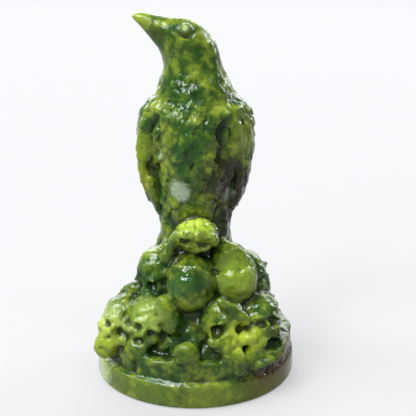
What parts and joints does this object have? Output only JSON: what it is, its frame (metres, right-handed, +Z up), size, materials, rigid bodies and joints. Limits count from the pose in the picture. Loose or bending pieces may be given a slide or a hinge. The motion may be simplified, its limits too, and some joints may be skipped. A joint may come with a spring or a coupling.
{
  "type": "raven statue",
  "caption": "Raven carved in one piece of green serpentine, perched upright on a heap of skulls over a stepped oval base, its head turned to its right shoulder.",
  "frame": {"origin": "middle of the flat underside of the base", "axes": "+Z up through the raven, -Y the way the breast faces, -X the way the beak points"},
  "size_m": [0.0538, 0.05, 0.0979],
  "materials": {
    "serpentine": "polished"
  },
  "bodies": {
    "root": {"raven_statue": "serpentine"}
  },
  "joints": []
}
